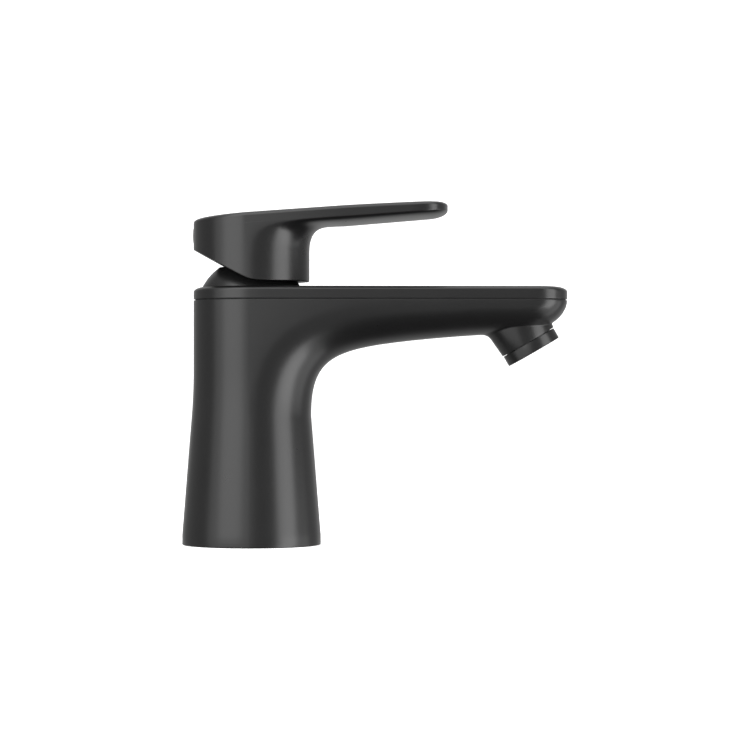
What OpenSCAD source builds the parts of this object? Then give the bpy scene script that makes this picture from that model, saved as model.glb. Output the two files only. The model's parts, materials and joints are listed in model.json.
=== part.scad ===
// Single-lever basin mixer: cast body with spout, cover plate, ball cap, lever and 35 mm cartridge.
// The origin is the centre of the foot on the deck, +X points to the spout and +Z is up.

/* [Column] */
// Diameter of the foot on the deck
base_d = 52.6; // [51:0.1:54]
// Diameter of the column at its top, and of the handle hub
column_d = 44; // [43.8:0.1:44.4]
// Height of the straight band at the foot
foot_band = 4; // [2:0.5:6]
// Height at which the cone of the column ends and the bend begins
cone_top = 49; // [48:0.5:50]
// Height at which the column reaches its smallest diameter
column_top = 66; // [64:0.5:68]

/* [Spout] */
// Height of the seam between the casting and its cover plate
seam_z = 92.9; // [92.6:0.1:93.2]
// Reach of the spout tip from the column axis
spout_tip = 119.8; // [118:0.1:122]
// Narrowing of each side of the spout, per millimetre of reach
spout_taper = 0.0297; // [0.02:0.0005:0.035]
// Length over which the tip rounds off in plan
spout_round = 15.3; // [14:0.1:17]
// Wall thickness of the casting
wall = 3.2; // [2.6:0.1:3.4]

/* [Cover plate] */
// Height of the plate's flat top
plate_top = 97.8; // [97.5:0.1:98.1]
// Height of the crown along its edge
plate_crown = 1.5; // [1.2:0.1:2]
// Width of the crown along its edge
plate_crown_w = 3.5; // [3:0.1:6]

/* [Aerator] */
// Reach of the outlet's centre
outlet_x = 107.3; // [106.8:0.1:108]
// Height of the outlet's centre
outlet_z = 73.2; // [73:0.1:74]
// Tilt of the outlet from vertical, in degrees
outlet_tilt = 30; // [27:0.5:32]
// Diameter of the aerator ring
aerator_d = 21.9; // [21.4:0.1:22]

/* [Handle] */
// Height of the hub's lower edge
hub_bottom = 99.7; // [99.4:0.1:100.2]
// Reach of the lever's tip
lever_tip = 74.5; // [72:0.1:78]
// Length over which the lever's tip rounds off in plan
lever_round = 13.4; // [12:0.1:15]
// Height of the crown along the top edge
lever_crown = 1.3; // [1:0.1:1.6]
// Width of the crown along the top edge
lever_crown_w = 5.5; // [4:0.1:6]

/* [Cartridge] */
// Height of the pivot pin, which is also the centre of the ball cap
pivot_z = 88.1; // [88:0.05:88.2]
// Radius of the ball cap
dome_r = 21; // [20.8:0.1:21.1]
// Lean of the stem from vertical when the handle is closed, in degrees
stem_lean = 12.5; // [12:0.5:13]
// Across flats of the square stem
stem_w = 8; // [7.6:0.1:8.1]

/* [Hidden] */
$fn = 64;

column_r = column_d / 2;
base_r = base_d / 2;
seam_gap = 0.4;
casting_top = seam_z - seam_gap / 2;
plate_bottom = seam_z + seam_gap / 2;
eps = 0.5;

// clearance between pieces that are pushed together, and how far the upper castings are
// drawn in from the turned surfaces that they grow out of
slip = 0.03;

// hollow of the foot, and the chamber above it
foot_hollow_r = 22.64;
foot_hollow_top_r = 19.4;
foot_ceiling = 45;
block_r = 18.6;
block_step = 58;
chamber_floor = 62;
chamber_r = 17.65;
mouth_r = 19;
gasket_in = 23.5;
gasket_out = 25.2;
gasket_h = 1.6;

// levels of the cartridge inside the chamber
base_plate_z = 62.4;
fixed_disc_z = 67;
moving_disc_z = 70.55;
coupler_z = 74;
coupler_top = 80;
guide_z = 80.4;
guide_step = 3.6;
shoulder_z = 86;
neck_top = 94;
guide_top = 97;

// radii of the cartridge
cartridge_r = 17.5;
collar_r = 15.1;
throat_r = 12.6;
guide_r = 11;
pin_r = 1.5;
pin_l = 21;

// water ways through the cartridge and its block
inlet_x = 5;
inlet_y = 8.5;
port_r = 3;
inlet_seal_r = 5.4;
inlet_land_r = 3.6;
outlet_port_x = -7.5;
outlet_port_r = 3.6;
stud_x = -12;
riser_x = 16;
riser_r = 4.5;

// stem below the pivot, and the place of the disc that it pushes
arm_l = 10;
disc_shift = -arm_l * sin(stem_lean);
socket_top = 30.2;

// ball cap
skirt_r = 16.4;
skirt_z = 94.5;
plate_hole_r = 16.6;
dome_flat_z = 105.3;
dome_opening_r = 11.5;

// outlet: the neck ends above the aerator ring
neck_gap = 4.4;
aerator_ring_h = 4.1;
insert_r = 8.2;
thread_r = 9.4;
insert_top = 10;
screen_low = 0.7;
screen_high = 1;

// seals
block_seal_z = 52;
block_seal_r = 17.8;
block_seal_minor = 0.78;
dome_seal_r = 17.2;
dome_seal_minor = 0.45;
guide_seal_z = 91.5;
guide_seal_r = 10.35;
guide_seal_minor = 0.7;

// handle hub
hub_inner_r = 18.8;
hub_boss_r = 8.5;
hub_ceiling = 110;
rear_plug_z = 117.2;
screw_r = 2.5;
plug_r = 3;
plug_depth = 4;

// curves

function bezier(p, t) =
    pow(1 - t, 3) * p[0] + 3 * pow(1 - t, 2) * t * p[1]
    + 3 * (1 - t) * t * t * p[2] + pow(t, 3) * p[3];

// how a rounded tip narrows: 1 before x0, 0 at tip, along a superellipse of power n
function tip_factor(x, x0, tip, n) =
    let (u = max(0, min(1, (x - x0) / (tip - x0)))) pow(1 - pow(u, n), 1 / n);

// radius of the column at height z: band, cone, then an easing to the upper radius
function column_radius(z) =
    let (
        slope = (base_r - column_r)
            / (cone_top - foot_band + (column_top - cone_top) / 2),
        left = max(0, column_top - max(z, cone_top)),
        eased = column_r + slope * left * left / (2 * (column_top - cone_top))
    )
    z <= foot_band ? base_r
    : z < cone_top ? base_r - slope * (z - foot_band)
    : eased;

// half widths in plan, and the powers of the superellipses at the tips
spout_power = 2.6;
lever_power = 3;
function spout_half(x) =
    (column_r - spout_taper * max(x, 0))
    * tip_factor(x, spout_tip - spout_round, spout_tip, spout_power);

function lever_half(x) =
    (column_r - spout_taper * max(x, 0))
    * tip_factor(x, lever_tip - lever_round, lever_tip, lever_power);

// underside and upper edge of the spout and of the lever, along the centre line
spout_x0 = 60.7;
spout_end_l = 19.5;
function spout_under(x) =
    let (line = 77.4 + 0.105 * (x - spout_x0) - 0.0009 * pow(x - spout_x0, 2))
    casting_top - (casting_top - line) * tip_factor(x, spout_tip - spout_end_l, spout_tip, 2);

lever_x0 = 36;
lever_end_l = 6.3;
function lever_edge(x) = 124.3 + 0.067 * (x - 34);
function lever_top(x) = 125.42 + 0.0817 * x - 0.00029 * x * x;
function lever_under(x) =
    let (line = 121.05 + 0.083 * (x - lever_x0))
    lever_edge(x) - (lever_edge(x) - line) * tip_factor(x, lever_tip - lever_end_l, lever_tip, 2);

// Stations of a bent sweep: [front point, side point] in the XZ plane.
// The front point runs along the inner rail and the side point along the widest line.
function bend_stations(inner, side, n) =
    [for (i = [0 : n]) [bezier(inner, i / n), bezier(side, i / n)]];

body_inner = [[column_radius(cone_top), cone_top], [22.67, 70.9], [30.8, 74.1],
    [spout_x0, spout_under(spout_x0)]];
body_side = [[0.4, cone_top], [0.4, 82], [20, casting_top], [spout_x0, casting_top]];
bend_n = 13;

spout_straight = [for (x = [68 : 7.5 : 98]) [[x, spout_under(x)], [x, casting_top]]];
spout_end = [for (a = [2 : 12 : 86])
    let (x = spout_tip - spout_end_l * (1 - sin(a))) [[x, spout_under(x)], [x, casting_top]]];

lever_z0 = 111;
lever_inner = [[column_r, lever_z0], [22.1, 121.4], [28.8, 120.7], [lever_x0, lever_under(lever_x0)]];
lever_side = [[0.4, lever_z0], [0.4, 121], [8, 122.4], [lever_x0, lever_edge(lever_x0)]];
lever_straight = [for (x = [42 : 8 : 66]) [[x, lever_under(x)], [x, lever_edge(x)]]];
lever_end = [for (a = [8 : 13 : 86])
    let (x = lever_tip - lever_end_l * (1 - sin(a))) [[x, lever_under(x)], [x, lever_edge(x)]]];

// Front half section at a station, from the +Y side round the front to the -Y side
arc_n = 16;
function front_arc(s, half) =
    [for (i = [0 : arc_n])
        let (a = 90 - 180 * i / arc_n, p = s[0] + (s[1] - s[0]) * (1 - cos(a)))
        [p[0], half * sin(a), p[1]]];

// Rear half of a ring, from the -Y side point round the back to the +Y side point, ends left out
rear_n = 16;
function rear_path(radius, z) =
    [for (i = [0 : rear_n])
        let (a = -90 - 180 * i / rear_n)
        [radius * cos(a), radius * sin(a), z]];

// Two triangles for each step between two rows of n points
function strip(a, b, n, closed) =
    [for (i = [0 : n - (closed ? 1 : 2)])
        let (j = (i + 1) % n)
        each [[a + i, a + j, b + j], [a + i, b + j, b + i]]];

// Shell of a bent sweep. The rings lead up to the station where the side rail meets the
// upper edge, and the arcs lead from there to the tip. Crown rings may follow the upper
// edge inward; the top is flat from side to side.
module bent_shell(rings, arcs, crown = []) {
    ring_n = len(rings[0]);
    arc_len = arc_n + 1;
    base = (len(rings) - 1) * ring_n;
    arcs_at = ring_n * len(rings);
    m = len(arcs);
    shell = concat([for (r = rings) each r], [for (a = arcs) each a]);
    edge = concat(
        [base],
        [for (j = [0 : m - 1]) arcs_at + j * arc_len],
        [for (j = [m - 1 : -1 : 0]) arcs_at + (j + 1) * arc_len - 1],
        [for (i = [arc_len - 1 : ring_n - 1]) base + i]);
    n = len(edge);
    crown_rings = [for (c = crown) crown_ring([for (k = edge) shell[k]], c)];
    top_at = len(shell) + (len(crown) - 1) * n;
    first = [for (i = [0 : n - 1])
        let (j = (i + 1) % n)
        each [[edge[i], edge[j], len(shell) + j], [edge[i], len(shell) + j, len(shell) + i]]];
    pairs = (n - 1) / 2;
    cap = concat(
        [for (i = [0 : pairs - 2]) [
            top_at + (m - i + n) % n,
            top_at + m + 1 + i,
            top_at + m + 2 + i,
            top_at + (m - i - 1 + n) % n]],
        [[top_at + (m - pairs + 1 + n) % n, top_at + m + pairs, top_at + m + pairs + 1]]);
    polyhedron(
        concat(shell, [for (r = crown_rings) each r]),
        concat(
            [[for (i = [ring_n - 1 : -1 : 0]) i]],
            [for (j = [0 : len(rings) - 2]) each strip(j * ring_n, (j + 1) * ring_n, ring_n, true)],
            strip(base, arcs_at, arc_len, false),
            [for (j = [0 : m - 2])
                each strip(arcs_at + j * arc_len, arcs_at + (j + 1) * arc_len, arc_len, false)],
            [[for (i = [0 : arc_len - 1]) arcs_at + (m - 1) * arc_len + i]],
            len(crown) == 0 ? [edge] : first,
            [for (j = [0 : len(crown) - 2])
                each strip(len(shell) + j * n, len(shell) + (j + 1) * n, n, true)],
            len(crown) == 0 ? [] : cap),
        convexity = 6);
}

// One crown ring: the edge drawn in by c[0], its height c[1] below the lever's top line
function crown_ring(edge, c) =
    let (n = len(edge))
    [for (k = [0 : n - 1])
        let (
            d = edge[(k + 1) % n] - edge[(k + n - 1) % n],
            l = sqrt(d[0] * d[0] + d[1] * d[1]),
            x = edge[k][0] + c[0] * d[1] / l,
            y = edge[k][1] - c[0] * d[0] / l
        ) [x, y, lever_top(x) - c[1]]];

// Plan outline as [x, y] points, drawn in by inset: rear half circle, sides and rounded tip
function outline(inset, tip, round_l, rear = 24, ends = 12) =
    let (
        r = column_r - inset,
        x0 = tip - round_l,
        k = (column_r - spout_taper * x0 - inset) / (column_r - spout_taper * x0),
        tip_side = [for (i = [1 : ends])
            let (
                a = 90 * i / ends,
                x = x0 + (round_l - inset) * pow(sin(a), 2 / spout_power),
                half = (column_r - spout_taper * x) * k * pow(max(cos(a), 0), 2 / spout_power)
            ) [x, half]],
        straight = [for (x = [0, x0]) [x, column_r - spout_taper * x - inset]]
    )
    concat(
        [for (i = [0 : rear - 1]) let (a = 270 - 180 * i / rear) [r * cos(a), r * sin(a)]],
        straight,
        tip_side,
        [for (i = [ends - 1 : -1 : 1]) [tip_side[i - 1][0], -tip_side[i - 1][1]]],
        [[straight[1][0], -straight[1][1]]]);

// Stack of outlines as a solid: levels are [inset, height] from the bottom up
module outline_stack(levels, tip, round_l) {
    rings = [for (l = levels) [for (p = outline(l[0], tip, round_l)) [p[0], p[1], l[1]]]];
    n = len(rings[0]);
    polyhedron(
        [for (r = rings) each r],
        concat(
            [[for (i = [n - 1 : -1 : 0]) i]],
            [for (j = [0 : len(levels) - 2]) each strip(j * n, (j + 1) * n, n, true)],
            [[for (i = [0 : n - 1]) (len(levels) - 1) * n + i]]),
        convexity = 4);
}

// Quarter-round crown as [inset, drop] steps
function crown_steps(width, height, n) =
    [for (i = [0 : n]) let (a = 90 * i / n) [width * (1 - cos(a)), height * (1 - sin(a))]];

module ring(outer, inner, z0, z1) {
    translate([0, 0, z0])
        difference() {
            cylinder(r = outer, h = z1 - z0);
            translate([0, 0, -eps])
                cylinder(r = inner, h = z1 - z0 + 2 * eps);
        }
}

module post(r, z0, z1) {
    translate([0, 0, z0])
        cylinder(r = r, h = z1 - z0);
}

module torus(major, minor, z) {
    translate([0, 0, z])
        rotate_extrude()
            translate([major, 0])
                circle(r = minor, $fn = 24);
}

// Moves its children to the outlet, with +Z pointing back up the neck
module at_outlet() {
    translate([outlet_x, 0, outlet_z])
        rotate([0, -outlet_tilt, 0])
            children();
}

// Moves its children to the pivot, with +Z along the closed stem
module along_stem() {
    translate([0, 0, pivot_z])
        rotate([0, stem_lean, 0])
            children();
}

// The two inlets, hot and cold
module at_inlets() {
    for (side = [-1, 1])
        translate([inlet_x, side * inlet_y, 0])
            children();
}

// casting

module column_cone() {
    chamfer = 0.4;
    rotate_extrude($fn = 96)
        polygon([[0, 0], [base_r - chamfer, 0], [base_r, chamfer], [base_r, foot_band],
            [column_radius(cone_top), cone_top], [0, cone_top]]);
}

module upper_casting() {
    stations = bend_stations(body_inner, body_side, bend_n);
    rings = [for (s = stations)
        let (r = column_radius(s[1][1]) - slip)
        concat(front_arc(s, r - spout_taper * s[1][0]), rear_path(r, s[1][1]))];
    arcs = [for (s = concat(spout_straight, spout_end)) front_arc(s, spout_half(s[1][0]))];
    bent_shell(rings, arcs);
}

// Round neck under the spout, cut off below the casting's top
module neck() {
    rim_r = 11.15;
    root_r = 12.2;
    neck_l = 11.5;
    room = 4 * root_r;
    intersection() {
        at_outlet()
            translate([0, 0, neck_gap])
                cylinder(r1 = rim_r, r2 = root_r, h = neck_l);
        translate([outlet_x - room / 2, -room / 2, casting_top - 1 - room])
            cube(room);
    }
}

// Hollow of the spout, one wall inside its outer shape
module spout_hollow() {
    roof = casting_top - wall;
    floor_wall = wall + 0.4;
    end_wall = wall + 2;
    start_x = 30;
    sections = [for (s = concat(
            [for (s = bend_stations(body_inner, body_side, bend_n)) if (s[0][0] > start_x) s],
            spout_straight,
            [for (s = spout_end) if (s[0][0] < spout_tip - end_wall) s]))
        let (x = s[0][0])
        front_arc([[x, s[0][1] + floor_wall], [x, roof]], spout_half(x) - wall)];
    n = arc_n + 1;
    last = len(sections) - 1;
    polyhedron(
        [for (s = sections) each s],
        concat(
            [[for (i = [n - 1 : -1 : 0]) i]],
            [for (j = [0 : last - 1]) each strip(j * n, (j + 1) * n, n, false)],
            [for (j = [0 : last - 1]) [j * n, (j + 1) * n, (j + 2) * n - 1, (j + 1) * n - 1]],
            [[for (i = [0 : n - 1]) last * n + i]]),
        convexity = 4);
}

// Foot hollow, gasket groove, chamber, riser to the spout, and the outlet's pocket and drain
module casting_bores() {
    mouth_depth = 9;
    riser_top = 76;
    gallery_z = 72;
    gallery_r = 4.3;
    gallery_l = 21;
    gallery_tilt = 60;
    pocket_r = thread_r + 0.1;
    pocket_top = 11.6;
    drain_r = 6.5;
    drain_top = 17;
    translate([0, 0, -eps])
        cylinder(r1 = foot_hollow_r, r2 = foot_hollow_top_r, h = foot_ceiling + eps);
    ring(gasket_out, gasket_in, -eps, gasket_h);
    post(block_r, foot_ceiling - eps, block_step);
    post(chamber_r, block_step - eps, casting_top + eps);
    post(mouth_r, casting_top - mouth_depth, casting_top + eps);
    translate([riser_x, 0, 0])
        post(riser_r, base_plate_z, riser_top);
    translate([riser_x, 0, gallery_z])
        rotate([0, gallery_tilt, 0])
            cylinder(r = gallery_r, h = gallery_l);
    at_outlet() {
        post(pocket_r, neck_gap - eps, pocket_top);
        post(drain_r, pocket_top - eps, drain_top);
    }
}

module faucet_body() {
    color("#1b1b1c")
        difference() {
            union() {
                column_cone();
                upper_casting();
                neck();
            }
            spout_hollow();
            casting_bores();
        }
}

// Brass block that closes the chamber from below and holds the hose and stud threads
module inlet_block() {
    hose_r = 4.5;
    hose_depth = 10;
    stud_r = 3.4;
    stud_depth = 11;
    groove_half = 1;
    bottom = foot_ceiling + 1;
    color("#b9a266")
        difference() {
            union() {
                post(block_r - slip, bottom, block_step);
                post(chamber_r - slip, block_step - eps, chamber_floor);
            }
            at_inlets() {
                post(hose_r, bottom - eps, bottom + hose_depth);
                post(port_r, bottom + hose_depth - eps, chamber_floor + eps);
            }
            translate([stud_x, 0, 0])
                post(stud_r, bottom - eps, bottom + stud_depth);
            ring(block_r + eps, block_seal_r - block_seal_minor - 0.02,
                block_seal_z - groove_half, block_seal_z + groove_half);
        }
}

module block_seal() {
    color("#151515")
        torus(block_seal_r, block_seal_minor, block_seal_z);
}

module base_gasket() {
    color("#0e0e0e")
        ring(gasket_out - 0.05, gasket_in + 0.05, 0, gasket_h);
}

// cover plate and its seal

module plate_gasket() {
    outer_inset = 0.6;
    inner_inset = 2.8;
    color("#080808")
        linear_extrude_at(casting_top, plate_bottom)
            difference() {
                polygon(outline(outer_inset, spout_tip, spout_round));
                polygon(outline(inner_inset, spout_tip, spout_round));
            }
}

module linear_extrude_at(z0, z1) {
    translate([0, 0, z0])
        linear_extrude(z1 - z0)
            children();
}

// Plate with a crowned edge, recessed below where it spans the spout
module top_cover_plate() {
    steps = crown_steps(plate_crown_w, plate_crown, 4);
    recess = 2;
    rim_w = 3;
    seat_r = column_r - 2.5;
    color("#1d1d1e")
        difference() {
            outline_stack(concat([[0, plate_bottom]], [for (s = steps) [s[0], plate_top - s[1]]]),
                spout_tip, spout_round);
            post(plate_hole_r, plate_bottom - eps, plate_top + eps);
            linear_extrude_at(plate_bottom - eps, plate_bottom + recess)
                difference() {
                    polygon(outline(rim_w, spout_tip, spout_round));
                    circle(r = seat_r);
                }
        }
}

// ball cap

module dome_cap() {
    shell = 1.2;
    flange_z = plate_top + 1.3;
    groove_half = dome_seal_minor + 0.05;
    groove_h = 0.95;
    color("#1a1a1b")
        difference() {
            union() {
                intersection() {
                    translate([0, 0, pivot_z])
                        sphere(r = dome_r);
                    post(column_r, plate_top, dome_flat_z);
                }
                post(skirt_r, skirt_z, plate_top + eps);
            }
            intersection() {
                translate([0, 0, pivot_z])
                    sphere(r = dome_r - shell);
                post(column_r, flange_z, dome_flat_z + eps);
            }
            post(collar_r + 0.1, skirt_z - eps, flange_z + eps);
            post(dome_opening_r, flange_z, dome_flat_z + eps);
            ring(dome_seal_r + groove_half, dome_seal_r - groove_half,
                plate_top - eps, plate_top + groove_h);
        }
}

module dome_seal() {
    color("#101010")
        torus(dome_seal_r, dome_seal_minor, plate_top + dome_seal_minor + 0.01);
}

// cartridge

// Ring nut that holds the cartridge down, with six spanner slots in its collar
module cartridge_nut() {
    thread_top = 92.6;
    slot_w = 3;
    slot_depth = 1.6;
    color("#b9a266")
        difference() {
            union() {
                post(mouth_r - 0.05, shoulder_z, thread_top);
                post(collar_r, thread_top - eps, guide_top);
            }
            post(throat_r + 0.3, shoulder_z - eps, guide_top + eps);
            for (a = [0 : 60 : 300])
                rotate([0, 0, a])
                    translate([collar_r - 1.2, -slot_w / 2, guide_top - slot_depth])
                        cube(slot_w);
        }
}

module cartridge_housing() {
    inner = 15.3;
    ceiling = guide_z + guide_step + 0.1;
    color("#e6e2d6")
        difference() {
            union() {
                post(cartridge_r, fixed_disc_z, shoulder_z);
                post(throat_r, shoulder_z - eps, neck_top);
            }
            post(inner, fixed_disc_z - eps, ceiling);
            post(guide_r + 0.08, ceiling - eps, neck_top + eps);
        }
}

// Foot of the cartridge: two flanges round a waist, with the inlets' seal grooves above and
// below, and the outlet's gallery running out to the rear
module cartridge_base() {
    flange_r = cartridge_r - 0.2;
    flange_h = 0.9;
    waist_r = 14.6;
    lower_groove = 1.3;
    upper_groove = 1;
    upper_groove_r = 5;
    gallery_z = 63.8;
    gallery_w = 6;
    gallery_h = 2.2;
    color("#d8d4c8")
        difference() {
            union() {
                post(flange_r, base_plate_z, base_plate_z + flange_h);
                post(waist_r, base_plate_z + eps, fixed_disc_z);
                post(flange_r, fixed_disc_z - flange_h, fixed_disc_z);
            }
            at_inlets() {
                post(port_r, base_plate_z - eps, fixed_disc_z + eps);
                ring(inlet_seal_r, inlet_land_r, base_plate_z - eps, base_plate_z + lower_groove);
                ring(upper_groove_r, inlet_land_r, fixed_disc_z - upper_groove, fixed_disc_z + eps);
            }
            translate([outlet_port_x, 0, 0])
                post(outlet_port_r, gallery_z, fixed_disc_z + eps);
            translate([-cartridge_r, -gallery_w / 2, gallery_z])
                cube([cartridge_r + outlet_port_x, gallery_w, gallery_h]);
        }
}

module base_seals() {
    seal_minor = 0.82;
    color("#1a1a1a")
        at_inlets()
            torus(4.5, seal_minor, chamber_floor + seal_minor + 0.02);
}

module disc_seals() {
    seal_minor = 0.48;
    color("#1a1a1a")
        at_inlets()
            torus(4.3, seal_minor, fixed_disc_z - seal_minor - 0.02);
}

module fixed_ceramic_disc() {
    disc_r = 14;
    disc_h = 3.5;
    color("#f2f0ea")
        difference() {
            post(disc_r, fixed_disc_z, fixed_disc_z + disc_h);
            at_inlets()
                post(port_r, fixed_disc_z - eps, fixed_disc_z + disc_h + eps);
            translate([outlet_port_x, 0, 0])
                post(outlet_port_r, fixed_disc_z - eps, fixed_disc_z + disc_h + eps);
        }
}

// Moving disc, with the hollow under it that joins the inlets to the outlet
module moving_ceramic_disc() {
    disc_r = 12.4;
    bridge_r = 8.8;
    bridge_x = -2.4;
    bridge_h = 1.8;
    color("#f2f0ea")
        translate([disc_shift, 0, 0])
            difference() {
                post(disc_r, moving_disc_z, coupler_z);
                translate([bridge_x, 0, 0])
                    post(bridge_r, moving_disc_z - eps, moving_disc_z + bridge_h);
            }
}

// Coupler on the moving disc, with the socket for the ball of the stem
module disc_coupler() {
    flange_r = 11.6;
    flange_h = 1.6;
    hub_r = 7;
    socket_r = 3.1;
    socket_floor = 0.8;
    color("#3a3a3c")
        translate([disc_shift, 0, 0])
            difference() {
                union() {
                    post(flange_r, coupler_z, coupler_z + flange_h);
                    post(hub_r, coupler_z + eps, coupler_top);
                }
                post(socket_r, coupler_z + socket_floor, coupler_top + eps);
            }
}

// Guide that turns in the housing and carries the pivot pin across the stem's slot
module stem_guide() {
    flange_r = 15;
    slot_w = stem_w + 0.6;
    slot_l = 13.2;
    groove_half = 0.9;
    color("#54565a")
        difference() {
            union() {
                post(flange_r, guide_z, guide_z + guide_step);
                post(guide_r, guide_z + guide_step - eps, guide_top);
            }
            translate([-slot_l / 2, -slot_w / 2, guide_z - eps])
                cube([slot_l, slot_w, guide_top - guide_z + 2 * eps]);
            pin(pin_r, pin_l);
            ring(guide_r + eps, guide_seal_r - guide_seal_minor - 0.05,
                guide_seal_z - groove_half, guide_seal_z + groove_half);
        }
}

// Cylinder on the handle's tilt axis
module pin(r, length) {
    translate([0, 0, pivot_z])
        rotate([90, 0, 0])
            cylinder(r = r, h = length, center = true);
}

module guide_seal() {
    color("#151515")
        torus(guide_seal_r, guide_seal_minor, guide_seal_z);
}

module pivot_pin() {
    color("#c9cbce")
        pin(pin_r, pin_l);
}

module temperature_limit_ring() {
    ring_h = 2;
    notch_w = 5;
    color("#b5282a")
        difference() {
            ring(throat_r, guide_r + 0.3, neck_top, neck_top + ring_h);
            translate([guide_r - 1, -notch_w / 2, neck_top + ring_h / 2])
                cube([3, notch_w, ring_h]);
        }
}

// Square stem with the arm and ball below it that push the disc
module cartridge_stem() {
    stem_top = 30;
    stem_below = 6;
    arm_r = 2.4;
    ball_r = 3;
    color("#c4c6c8")
        along_stem()
            difference() {
                union() {
                    translate([-stem_w / 2, -stem_w / 2, -stem_below])
                        cube([stem_w, stem_w, stem_top + stem_below]);
                    post(arm_r, -arm_l, -stem_below + eps);
                    translate([0, 0, -arm_l])
                        sphere(r = ball_r, $fn = 32);
                }
                rotate([90, 0, 0])
                    cylinder(r = pin_r + 0.05, h = stem_w + 2, center = true);
            }
}

// handle

module upper_lever() {
    stations = bend_stations(lever_inner, lever_side, 13);
    rings = [for (s = stations)
        let (f = (s[1][1] - lever_z0) / (lever_edge(s[1][0]) - lever_z0))
        concat(
            front_arc(s, lever_half(s[1][0]) - slip),
            [for (p = rear_path(column_r - slip, 0))
                [p[0], p[1], lever_z0 + f * (lever_edge(p[0]) - lever_z0)]])];
    arcs = [for (s = concat(lever_straight, lever_end)) front_arc(s, lever_half(s[1][0]) - slip)];
    bent_shell(rings, arcs, crown_steps(lever_crown_w, lever_crown, 4));
}

module lever_handle() {
    cut_angle = 28.5;
    cut_x = 1.9;
    cut_room = 60;
    skirt_depth = 4;
    color("#1b1b1c")
        difference() {
            union() {
                post(column_r, hub_bottom, lever_z0);
                upper_lever();
            }
            // the rear underside slopes up, which leaves room for the hub as the lever lifts
            translate([cut_x, 0, hub_bottom])
                rotate([0, cut_angle, 0])
                    translate([-cut_room, -cut_room / 2, -cut_room])
                        cube(cut_room);
            post(hub_inner_r, hub_bottom - eps, hub_ceiling);
            ring(hub_inner_r, hub_boss_r, hub_ceiling - eps, hub_ceiling + skirt_depth);
            along_stem()
                translate([-stem_w / 2, -stem_w / 2, socket_top / 3])
                    cube([stem_w, stem_w, socket_top * 2 / 3]);
            at_rear_hole(-column_r - 1)
                cylinder(r = screw_r, h = column_r + stem_w / 2);
            at_rear_hole(-column_r - 1)
                cylinder(r = plug_r, h = 1 + plug_depth);
        }
}

// Moves its children to the hole in the rear of the hub, at x, with +Z pointing forwards
module at_rear_hole(x) {
    translate([x, 0, rear_plug_z])
        rotate([0, 90, 0])
            children();
}

module handle_set_screw() {
    screw_l = 11.9;
    key_r = 1.45;
    key_depth = 3;
    color("#8f9194")
        at_rear_hole(-10)
            difference() {
                cylinder(r = screw_r, h = screw_l);
                translate([0, 0, -eps])
                    cylinder(r = key_r, h = key_depth + eps, $fn = 6);
            }
}

module set_screw_plug() {
    proud = 0.15;
    color("#202021")
        at_rear_hole(-column_r - proud)
            cylinder(r = plug_r, h = plug_depth);
}

// aerator

module aerator_housing() {
    color("#1f1f20")
        at_outlet()
            difference() {
                union() {
                    cylinder(r = aerator_d / 2, h = aerator_ring_h);
                    post(thread_r, aerator_ring_h - eps, insert_top);
                }
                post(insert_r, -eps, insert_top + eps);
            }
}

module aerator_screen() {
    color("#9a9c9e")
        at_outlet()
            post(insert_r, screen_low, screen_high);
}

// Insert with two circles of holes that break up the water
module aerator_insert() {
    insert_h = 8.6;
    hole_r = 0.8;
    color("#4a4c50")
        at_outlet()
            difference() {
                post(insert_r, screen_high, screen_high + insert_h);
                for (r = [3, 6])
                    for (a = [0 : 180 / r : 359])
                        rotate([0, 0, a])
                            translate([r, 0, 0])
                                post(hole_r, screen_low, screen_high + insert_h + eps);
            }
}

module aerator_washer() {
    washer_in = 6.5;
    washer_h = 1.5;
    color("#1c1c1c")
        at_outlet()
            ring(thread_r, washer_in, insert_top, insert_top + washer_h);
}

faucet_body();
inlet_block();
block_seal();
base_gasket();
plate_gasket();
top_cover_plate();
dome_cap();
dome_seal();
cartridge_nut();
cartridge_housing();
cartridge_base();
base_seals();
disc_seals();
fixed_ceramic_disc();
temperature_limit_ring();
aerator_housing();
aerator_washer();
aerator_insert();
aerator_screen();
stem_guide();
guide_seal();
pivot_pin();
cartridge_stem();
lever_handle();
handle_set_screw();
set_screw_plug();
moving_ceramic_disc();
disc_coupler();
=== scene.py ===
import json
import math

import bmesh
import bpy
import numpy as np
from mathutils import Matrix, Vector


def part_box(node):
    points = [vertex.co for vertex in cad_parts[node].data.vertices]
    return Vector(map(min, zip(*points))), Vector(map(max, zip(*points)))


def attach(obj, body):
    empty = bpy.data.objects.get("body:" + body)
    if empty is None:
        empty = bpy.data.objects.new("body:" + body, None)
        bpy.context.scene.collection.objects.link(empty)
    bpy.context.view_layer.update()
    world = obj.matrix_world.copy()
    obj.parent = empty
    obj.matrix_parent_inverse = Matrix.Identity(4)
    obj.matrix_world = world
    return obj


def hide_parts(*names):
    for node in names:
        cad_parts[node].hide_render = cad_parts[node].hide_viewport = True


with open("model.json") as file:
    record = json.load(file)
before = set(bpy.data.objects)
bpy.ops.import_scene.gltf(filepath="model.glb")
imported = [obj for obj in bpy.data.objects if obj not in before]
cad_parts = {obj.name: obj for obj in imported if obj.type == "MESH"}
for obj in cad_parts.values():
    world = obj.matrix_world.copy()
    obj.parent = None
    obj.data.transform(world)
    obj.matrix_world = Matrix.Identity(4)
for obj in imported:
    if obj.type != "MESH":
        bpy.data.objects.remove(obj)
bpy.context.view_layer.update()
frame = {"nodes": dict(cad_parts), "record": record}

MM = 0.001

# ---------------------------------------------------------------- sizes from the frame, in mm


def low(node, axis):
    """Lowest coordinate of a CAD node along an axis, in mm."""
    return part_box(node)[0][axis] / MM


def high(node, axis):
    """Highest coordinate of a CAD node along an axis, in mm."""
    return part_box(node)[1][axis] / MM


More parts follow.
